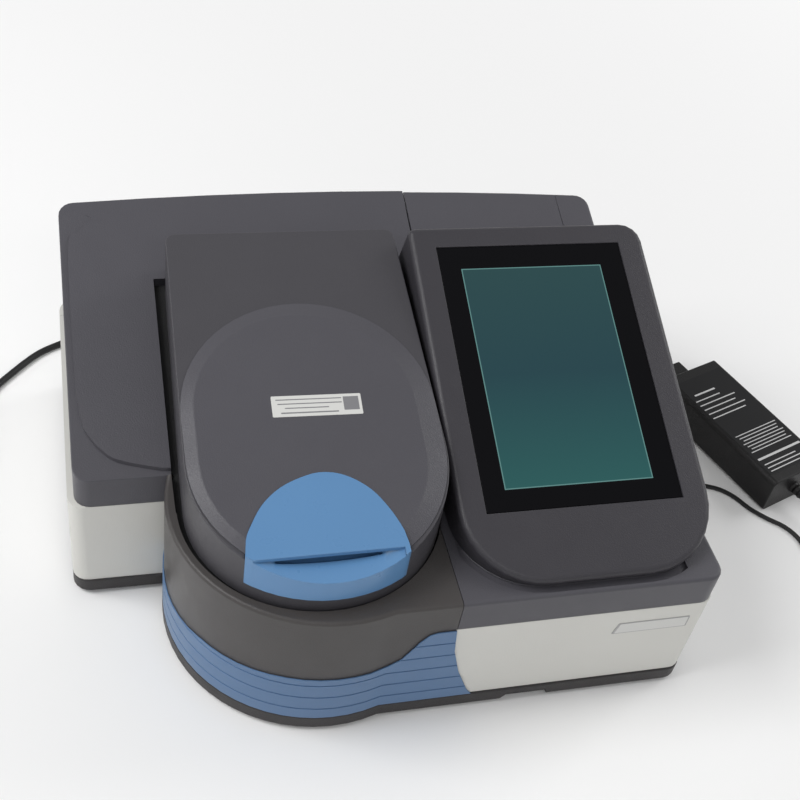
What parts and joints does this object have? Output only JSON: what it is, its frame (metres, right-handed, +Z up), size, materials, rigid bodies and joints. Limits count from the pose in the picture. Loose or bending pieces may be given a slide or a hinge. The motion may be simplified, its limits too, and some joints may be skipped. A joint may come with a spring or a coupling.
{
  "type": "visible spectrophotometer",
  "caption": "Bench spectrophotometer with a round-nosed sample lid, blue handle, sloping touch display, accessory bay and a mains adapter with its leads.",
  "frame": {"origin": "centre of the instrument's footprint on the table, under the rubber feet", "axes": "+Z up, -Y towards the operator, +X to the operator's right"},
  "size_m": [0.7095, 0.41, 0.2033],
  "materials": {
    "charcoal_plastic": "fine moulded grain",
    "warm_rim_plastic": "fine moulded grain",
    "light_plastic": "fine moulded grain",
    "blue_plastic": "satin, ribbed",
    "handle_plastic": "satin",
    "dark_gloss_plastic": "fine moulded grain",
    "black_plastic": "satin",
    "rubber_parts": "matte",
    "steel": "zinc plated",
    "black_metal": "matte black",
    "black_glass": "polished",
    "clear_glass": "polished",
    "mirror_face": "polished",
    "alloy": "milled",
    "motor_metal": "satin",
    "brass_parts": "satin",
    "circuit_board": "satin",
    "screen": "lit screen"
  },
  "bodies": {
    "case": {"base_tray": "warm_rim_plastic", "rubber_feet": "rubber_parts", "left_panel": "light_plastic", "nose_panel": "warm_rim_plastic", "blue_band": "blue_plastic", "right_panel": "light_plastic", "rear_panel": "light_plastic", "left_cover": "charcoal_plastic", "nose_rim": "warm_rim_plastic", "right_cover": "charcoal_plastic", "sample_deck": "black_metal", "display_housing": "dark_gloss_plastic", "touch_glass": "black_glass", "lcd_panel": "screen", "display_board": "circuit_board", "lid_seal": "rubber_parts", "hinge_brackets": "black_metal", "hinge_pin": "steel", "sample_tub": "black_metal", "cuvette_holder": "black_metal", "beam_windows": "clear_glass", "optical_bench": "alloy", "bench_pillars": "steel", "lamp_house": "black_metal", "lamp_bulb": "clear_glass", "condenser_lens": "clear_glass", "filter_motor": "motor_metal", "monochromator_case": "black_metal", "slit_plates": "black_metal", "grating_pivot": "steel", "grating_motor": "motor_metal", "detector_board": "circuit_board", "photodiode": "motor_metal", "main_board": "circuit_board", "port_plate": "black_plastic", "port_block": "steel", "dc_jack": "black_plastic", "switch_frame": "black_plastic", "bench_nuts": "steel", "adapter_case": "black_plastic", "mains_connector": "black_plastic", "lead_relief": "black_plastic", "dc_lead": "black_plastic", "dc_plug": "black_plastic", "mains_lead": "black_plastic", "mains_coil": "black_plastic", "mains_plug": "black_plastic"},
    "lid": {"lid_shell": "dark_gloss_plastic", "lid_face": "charcoal_plastic", "lid_handle": "handle_plastic", "lid_liner": "dark_gloss_plastic", "lid_knuckles": "dark_gloss_plastic"},
    "bay_lid": {"bay_cover": "charcoal_plastic"},
    "rocker": {"power_rocker": "black_plastic"},
    "filter_disc": {"filter_wheel": "black_metal"},
    "grating_turntable": {"grating_table": "brass_parts", "grating": "mirror_face"},
    "pinion": {"motor_pinion": "brass_parts"}
  },
  "joints": [
    {"name": "lid_hinge", "type": "hinge", "parent": "case", "child": "lid", "pos_m": [-0.05, 0.095, 0.16043], "axis": [-1, 0, 0], "range_deg": [0, 78]},
    {"name": "bay_lift", "type": "slide", "parent": "case", "child": "bay_lid", "axis": [0, 0, 1], "range_m": [0, 0.06]},
    {"name": "power_rock", "type": "hinge", "parent": "case", "child": "rocker", "pos_m": [-0.02, 0.1567, 0.036], "axis": [1, 0, 0], "range_deg": [0, 10]},
    {"name": "filter_turn", "type": "hinge", "parent": "case", "child": "filter_disc", "pos_m": [-0.113, 0.062, 0.074], "axis": [1, 0, 0], "continuous": true},
    {"name": "grating_turn", "type": "hinge", "parent": "case", "child": "grating_turntable", "pos_m": [-0.05, 0.112, 0.04], "axis": [0, 0, 1], "range_deg": [-12, 12]},
    {"name": "pinion_turn", "type": "hinge", "parent": "case", "child": "pinion", "pos_m": [-0.01965, 0.112, 0.04], "axis": [0, 0, 1], "range_deg": [-48, 48]}
  ],
  "couplings": [
    {"joint": "pinion_turn", "follows": "grating_turn", "ratio": -4}
  ]
}
